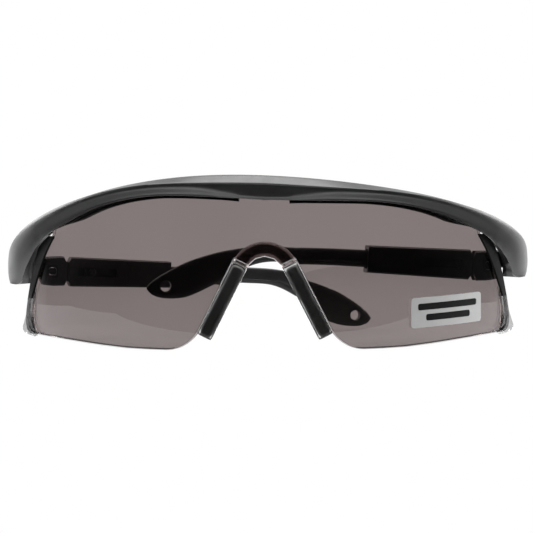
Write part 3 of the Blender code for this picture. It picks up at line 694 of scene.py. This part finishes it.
def build_side_carriers():
    """Black strips along the front of the lens's side edges, with softened corners."""
    front, back, chamfer = -0.9, -0.3, 0.15
    for name, side in SIDES.items():
        rings = []
        for z, inner, outer in smooth_curve(STRIP_ROWS, 6):
            section = ((inner + chamfer, front), (outer - chamfer, front),
                       (outer, front + chamfer), (outer, back),
                       (inner, back), (inner, front + chamfer))
            rings.append([lens_point(side * s * MM, depth * MM, z * MM) for s, depth in section])
        make_piece("side_carrier_fine_" + name, loft(rings), "strip_nylon", "front",
                   ("side_carrier_" + name,), 50.0)


SHIELD_ROWS = [  # (length along the lens, height) of its inner edge, then of its outer edge
    (79.0, 13.3, 79.7, 13.9), (79.75, 11.6, 81.9, 11.0), (80.7, 9.1, 84.2, 7.8),
    (81.15, 6.8, 86.8, 5.0), (80.9, 5.1, 88.3, 3.1), (79.9, 3.7, 86.0, 1.9), (78.3, 2.5, 80.5, 1.6),
    (76.8, 1.9, 77.2, 1.5),
]
RIM_ROWS = [  # the dark rim on the lens's side edge, below the strip
    (76.0, 12.58, 78.3, 12.58), (76.5, 10.4, 79.0, 10.4), (77.0, 8.4, 79.8, 8.4),
    (77.3, 6.7, 80.2, 6.4), (77.1, 5.3, 79.9, 4.7), (76.2, 4.1, 78.8, 3.2), (74.7, 3.3, 76.8, 2.5),
    (72.2, 2.9, 73.6, 2.3),
]
STEP_LINE = [  # a moulded step a little way inside the rim
    (74.5, 15.5), (74.9, 13.0), (75.3, 9.5), (75.3, 7.0), (74.6, 5.3), (73.0, 4.0),
]


def lens_band(rows, near, far, chamfer, side):
    """A closed band along the lens from rows of (inner s, inner z, outer s, outer z), in mm."""
    rings = []
    for inner_s, inner_z, outer_s, outer_z in rows:
        reach = math.hypot(outer_s - inner_s, outer_z - inner_z)
        section = ((chamfer, near), (reach - chamfer, near), (reach, near + chamfer),
                   (reach, far - chamfer), (reach - chamfer, far), (chamfer, far),
                   (0.0, far - chamfer), (0.0, near + chamfer))
        ring = []
        for out, depth in section:
            s = inner_s + (outer_s - inner_s) * out / reach
            z = inner_z + (outer_z - inner_z) * out / reach
            ring.append(lens_point(side * s * MM, depth * MM, z * MM))
        rings.append(ring)
    return loft(rings)


def build_side_shields():
    """Clear fins round the lens's lower rear corners, with rounded rims."""
    for name, side in SIDES.items():
        bm = lens_band(smooth_curve(SHIELD_ROWS, 6), 0.4, 1.6, 0.25, side)
        make_piece("side_shield_fine_" + name, bm, "fin_plastic", "front",
                   ("side_shield_" + name,), 50.0)


def build_lens_lines():
    """What is moulded on the lens: a dark rim and a step line at each side; and a thin dark strip on
    the back of the lower edge, which is a painted shadow line.
    """
    back = LENS_THICKNESS / MM + 0.02
    lower = LENS_LOBE[4:] + LENS_FOOT + LENS_CORNER[:2]
    for name, side in SIDES.items():
        bm = lens_band(smooth_curve(RIM_ROWS, 6), -0.85, -0.3, 0.1, side)
        make_piece("lens_rim_" + name, bm, "rim_smoke", "front", (), 50.0)
        rows = [(s, z, s + 0.2, z + 0.1) for s, z in smooth_curve(STEP_LINE, 6)]
        bm = lens_band(rows, -0.14, -0.03, 0.02, side)
        make_piece("lens_step_" + name, bm, "line_and_shadow_smoke", "front", (), 50.0)
        # a thin dark strip behind the lens's lower edge: a painted shadow line
        rows = [(s, z + 0.12, s + 0.01, z + 0.5) for s, z in smooth_curve(lower, 6)]
        bm = lens_band(rows, back, back + 0.12, 0.02, side)
        make_piece("lens_shadow_line_" + name, bm, "line_and_shadow_smoke", "front", (), 50.0)


# ---- temples -------------------------------------------------------------------------------------
STEM_OUTLINE = [  # (distance from the fold pin, top, bottom) of the ear stem, in mm
    (46.2, 2.55, -2.4), (66.0, 2.4, -2.4), (76.0, 2.05, -3.0), (84.0, 0.9, -6.4), (90.0, -0.8, -9.9),
    (97.0, -3.6, -13.6), (103.0, -7.0, -14.35), (106.5, -9.5, -13.6), (108.2, -11.4, -12.1),
]
STEM_GROOVE = -0.42  # level of the groove along the stem, which fades out before the tip
STEM_SECTION = [  # (height from -1 to 1, half thickness from 0 to 1), bottom to top
    (-1.0, 0.35), (-0.96, 0.62), (-0.88, 0.82), (-0.7, 0.94), (-0.5, 0.98), (STEM_GROOVE, 0.84),
    (-0.34, 0.99), (-0.1, 1.0), (0.2, 0.99), (0.5, 0.93), (0.75, 0.82), (0.9, 0.66), (0.97, 0.5),
    (1.0, 0.3),
]


# Moulded marks, in metres along the arm from the fold pin (block) or the tilt pin (sleeve).
BLOCK_RIM, BLOCK_RIM_HEIGHT = (8.6 * MM, 11.6 * MM, -1.8 * MM, 1.8 * MM), 0.05 * MM
SLEEVE_RIM, SLEEVE_RIM_HEIGHT = (22.0 * MM, 33.0 * MM, -2.2 * MM, 2.2 * MM), 0.14 * MM
SLEEVE_BOSS = (12.5 * MM, 0.5 * MM, 1.3 * MM)  # (x, z, radius)


def frame_at(origin, x_axis, y_axis):
    """The matrix of a frame from its origin and two of its axes."""
    z_axis = x_axis.cross(y_axis)
    turn = Matrix((x_axis, y_axis, z_axis)).transposed()
    return Matrix.Translation(origin) @ turn.to_4x4()


def arm_frames(name):
    """Frames of the sleeve and the stem at rest, their origin on the tilt pin, x along the arm."""
    tilt, slide = JOINTS["tilt_" + name], JOINTS["length_" + name]
    x_axis = Vector(slide["axis"]).normalized()
    y_axis = -Vector(tilt["axis"]).normalized()
    sleeve = frame_at(Vector(tilt["pos_m"]), x_axis, y_axis)
    stem = frame_at(Vector(tilt["pos_m"]) - slide["range_m"][0] * x_axis, x_axis, y_axis)
    return sleeve, stem


def stem_ring(x, low, high):
    """One section of the stem; x, low and high are in metres from the tilt pin."""
    middle, half = (low + high) / 2, (high - low) / 2
    along = x + TILT_PIVOT
    thin = math.sqrt(max(1.0 - (max(along - 104.0 * MM, 0.0) / (4.6 * MM)) ** 2, 0.1))
    grooved = 1.0 - eased(78.0 * MM, 90.0 * MM, along)
    near, far = [], []
    for u, width in STEM_SECTION:
        if u == STEM_GROOVE:
            width = 0.99 + (width - 0.99) * grooved
        y = STEM_HALF_THICKNESS * width * thin
        near.append(Vector((x, -y, middle + u * half)))
        far.append(Vector((x, y, middle + u * half)))
    return near + far[::-1]


def build_stem(name, side, matrix):
    """The ear stem with its lanyard hole and the length button's seat."""
    rows = [(x * MM - TILT_PIVOT, -2.4 * MM, 2.4 * MM) for x in (17.0, 46.0)]
    for x, top, bottom in smooth_curve(STEM_OUTLINE, 9):
        rows.append((x * MM - TILT_PIVOT, bottom * MM, top * MM))
    bm = loft([stem_ring(*row) for row in rows])
    x, z = LANYARD_HOLE[0] - TILT_PIVOT, LANYARD_HOLE[1]
    mouth, flare = STEM_HALF_THICKNESS + 0.02 * MM, 0.28 * MM
    profile = ((-mouth - flare, LANYARD_RADIUS + 2 * flare), (-mouth + flare, LANYARD_RADIUS),
               (mouth - flare, LANYARD_RADIUS), (mouth + flare, LANYARD_RADIUS + 2 * flare))
    hole = loft([[Vector((x + a, y, z + b)) for a, b in circle(r, 64)] for y, r in profile])
    bm = boolean(bm, hole, "DIFFERENCE")
    seat = [(BUTTON_X - TILT_PIVOT + a, b) for a, b in circle(BUTTON_SEAT)]
    ways = sorted((side * -0.2 * MM, side * 3.0 * MM))
    bm = boolean(bm, prism_y(seat, *ways), "DIFFERENCE")
    bmesh.ops.transform(bm, matrix=matrix, verts=bm.verts)
    make_piece("ear_stem_fine_" + name, bm, "temple_nylon", "stem_" + name,
               ("ear_stem_" + name,))


def raised_frame(x0, x1, z0, z1, y, out, height):
    """A low rectangular rim on a flat face at y; out is -1 or 1, the way it stands up."""
    width = 0.32 * MM
    base, top = y - out * 0.1 * MM, y + out * height
    low, high = min(base, top), max(base, top)
    outer = prism_y(rounded_rectangle(x0, x1, z0, z1, 0.5 * MM), low, high)
    inner = prism_y(rounded_rectangle(x0 + width, x1 - width, z0 + width, z1 - width, 0.3 * MM),
                    low - 1.0 * MM, high + 1.0 * MM)
    return boolean(outer, inner, "DIFFERENCE")


def raised_disc(x, z, radius, y, out):
    """A low round boss with a dished middle on a flat face."""
    profile = ((-0.1, 1.0), (0.06, 1.0), (0.12, 0.92), (0.12, 0.78), (0.03, 0.66))
    rings = [[Vector((x + a, y + out * lift * MM, z + b)) for a, b in circle(radius * scale)]
             for lift, scale in profile]
    return loft(rings)


def build_temple_marks(name, side, sleeve):
    """Moulded marks: a rim on the hinge block, and a round boss and a long rim on the sleeve."""
    hinge = Vector(JOINTS["fold_" + name]["pos_m"])
    pivot = Vector(JOINTS["tilt_" + name]["pos_m"])
    y_axis = -Vector(JOINTS["tilt_" + name]["axis"]).normalized()
    block = frame_at(hinge, (pivot - hinge).normalized(), y_axis)
    for face, out in (("inner", side), ("outer", -side)):
        bm = raised_frame(*BLOCK_RIM, out * ARM_HALF_THICKNESS, out, BLOCK_RIM_HEIGHT)
        bmesh.ops.transform(bm, matrix=block, verts=bm.verts)
        make_piece(f"block_rim_{face}_{name}", bm, "strip_nylon", "hinge_" + name)
    bm = raised_disc(*SLEEVE_BOSS, -side * ARM_HALF_THICKNESS, -side)
    bmesh.ops.transform(bm, matrix=sleeve, verts=bm.verts)
    make_piece("sleeve_boss_" + name, bm, "temple_nylon", "sleeve_" + name)
    bm = raised_frame(*SLEEVE_RIM, side * ARM_HALF_THICKNESS, side, SLEEVE_RIM_HEIGHT)
    bmesh.ops.transform(bm, matrix=sleeve, verts=bm.verts)
    make_piece("sleeve_rim_" + name, bm, "temple_nylon", "sleeve_" + name)


def build_temples():
    for name, side in SIDES.items():
        sleeve, stem = arm_frames(name)
        refine("hinge_block_" + name, "temple_nylon", 0.16 * MM, "hinge_" + name)
        refine("temple_sleeve_" + name, "temple_nylon", 0.16 * MM, "sleeve_" + name)
        refine("length_button_" + name, "temple_nylon", 0.08 * MM, "stem_" + name)
        build_stem(name, side, stem)
        build_temple_marks(name, side, sleeve)
        for pin, material in (("hinge_pin_", "steel"), ("tilt_pin_", "steel_black")):
            for slot in frame["nodes"][pin + name].material_slots:
                slot.material = MATERIALS[material]


# ---- studio --------------------------------------------------------------------------------------
FLOOR_CORNERS = ((0.14, -0.08), (0.19, -0.03), (0.21, 0.49))  # (x, y) of its left-hand half
FLOOR_LEVEL, FLOOR_GLOW = -0.2 * MM, 0.62
SOFTBOXES = {  # name: (place, aim, size, power in watts)
    "overhead": ((0.0, 0.06, 0.42), (0.0, -0.01, 0.04), (0.55, 0.3), 2.9),
    "front_high": ((0.0, -0.5, 0.52), (0.0, -0.03, 0.03), (0.6, 0.16), 1.0),
    "side_left": ((0.42, 0.12, 0.17), (0.07, 0.0, 0.03), (0.3, 0.2), 1.6),
    "side_right": ((-0.42, 0.12, 0.17), (-0.07, 0.0, 0.03), (0.3, 0.2), 1.6),
}
CAMERA_DISTANCE, CAMERA_ASIDE, CAMERA_AIM_Z = 0.5, 0.54 * MM, 23.0 * MM
CAMERA_YAW, CAMERA_PITCH, CAMERA_ROLL = math.radians(1.0), math.radians(3.0), math.radians(0.35)
CAMERA_FOCAL_LENGTH, CAMERA_SENSOR = 125.08, 36.0  # in mm, as the camera's own settings are


def ramp(tree, value, start, end, low, high):
    """A smooth rise of a value from low to high."""
    node = tree.nodes.new("ShaderNodeMapRange")
    node.interpolation_type = "SMOOTHSTEP"
    for socket, number in (("From Min", start), ("From Max", end), ("To Min", low), ("To Max", high)):
        node.inputs[socket].default_value = number
    tree.links.new(value, node.inputs["Value"])
    return node.outputs["Result"]


def combined(tree, operation, first, second):
    """The result of a maths operation on two values."""
    node = tree.nodes.new("ShaderNodeMath")
    node.operation = operation
    tree.links.new(first, node.inputs[0])
    tree.links.new(second, node.inputs[1])
    return node.outputs["Value"]


def build_world():
    """The room's light: bright behind and below, dark in front; the camera sees it white."""
    world = bpy.data.worlds.new("studio")
    bpy.context.scene.world = world
    world.use_nodes = True
    tree = world.node_tree
    background = tree.nodes["Background"]
    place = tree.nodes.new("ShaderNodeTexCoord")
    parts = tree.nodes.new("ShaderNodeSeparateXYZ")
    path = tree.nodes.new("ShaderNodeLightPath")
    aside = tree.nodes.new("ShaderNodeMath")
    aside.operation = "ABSOLUTE"
    tree.links.new(place.outputs["Generated"], parts.inputs["Vector"])
    tree.links.new(parts.outputs["X"], aside.inputs[0])
    behind = ramp(tree, parts.outputs["Y"], 0.12, 0.4, 0.03, 1.0)
    cheeks = ramp(tree, aside.outputs["Value"], 0.2, 0.6, 1.0, 1.75)
    low = ramp(tree, parts.outputs["Z"], -0.15, -0.55, 0.0, 2.6)
    lifted = combined(tree, "SUBTRACT", parts.outputs["Z"], parts.outputs["Y"])
    high = ramp(tree, lifted, -0.1, 0.5, 1.0, 0.2)
    room = combined(tree, "MULTIPLY", behind, high)
    room = combined(tree, "MAXIMUM", room, low)
    room = combined(tree, "MULTIPLY", room, cheeks)
    room = combined(tree, "MAXIMUM", room, path.outputs["Is Camera Ray"])
    tree.links.new(room, background.inputs["Strength"])
    background.inputs["Color"].default_value = (1.0, 1.0, 1.0, 1.0)


def build_floor():
    """A pale table that lights the glasses from below and leaves the picture's ground white."""
    outline = FLOOR_CORNERS + tuple((-x, y) for x, y in reversed(FLOOR_CORNERS))
    bm = bmesh.new()
    bm.faces.new([bm.verts.new((x, y, FLOOR_LEVEL)) for x, y in outline])
    mesh = bpy.data.meshes.new("floor")
    bm.to_mesh(mesh)
    bm.free()
    floor = bpy.data.objects.new("floor", mesh)
    bpy.context.scene.collection.objects.link(floor)
    pale, tree, shader = new_material("floor_pale")
    shader.inputs["Roughness"].default_value = 0.8
    shader.inputs["Emission Color"].default_value = (1.0, 1.0, 1.0, 1.0)
    shader.inputs["Emission Strength"].default_value = FLOOR_GLOW
    tinted(tree, noise(tree, 3.0), (0.09, 0.09, 0.09), (0.1, 0.1, 0.1), shader)
    mesh.materials.append(pale)
    floor.visible_camera = False


def add_softbox(name, place, aim, size, power):
    lamp = bpy.data.lights.new(name, "AREA")
    lamp.shape = "RECTANGLE"
    lamp.size, lamp.size_y = size
    lamp.energy = power
    item = bpy.data.objects.new(name, lamp)
    item.location = place
    item.rotation_euler = (Vector(aim) - Vector(place)).to_track_quat("-Z", "Y").to_euler()
    bpy.context.scene.collection.objects.link(item)


def add_camera():
    """A long lens in front, 3 degrees above level and 1 degree off square."""
    target = Vector((0.0, FRONT_Y, CAMERA_AIM_Z))
    way = Vector((-math.sin(CAMERA_YAW) * math.cos(CAMERA_PITCH),
                  math.cos(CAMERA_YAW) * math.cos(CAMERA_PITCH), -math.sin(CAMERA_PITCH)))
    right = Vector((math.cos(CAMERA_YAW), math.sin(CAMERA_YAW), 0.0))
    place = target + CAMERA_ASIDE * right - CAMERA_DISTANCE * way
    turn = Matrix((right, right.cross(way), -way)).transposed().to_4x4()
    camera = bpy.data.cameras.new("camera")
    camera.sensor_width = CAMERA_SENSOR
    camera.lens = CAMERA_FOCAL_LENGTH
    camera.clip_start = 0.01
    item = bpy.data.objects.new("camera", camera)
    item.matrix_world = Matrix.Translation(place) @ turn @ Matrix.Rotation(-CAMERA_ROLL, 4, "Z")
    bpy.context.scene.collection.objects.link(item)
    bpy.context.scene.camera = item


add_camera()
build_world()
build_floor()
for name, settings in SOFTBOXES.items():
    add_softbox(name, *settings)
bpy.context.scene.view_settings.view_transform = "Standard"
build_brow()
build_lens()
build_nose_bridge()
build_nose_pads()
build_label()
build_side_carriers()
build_side_shields()
build_lens_lines()
build_temples()
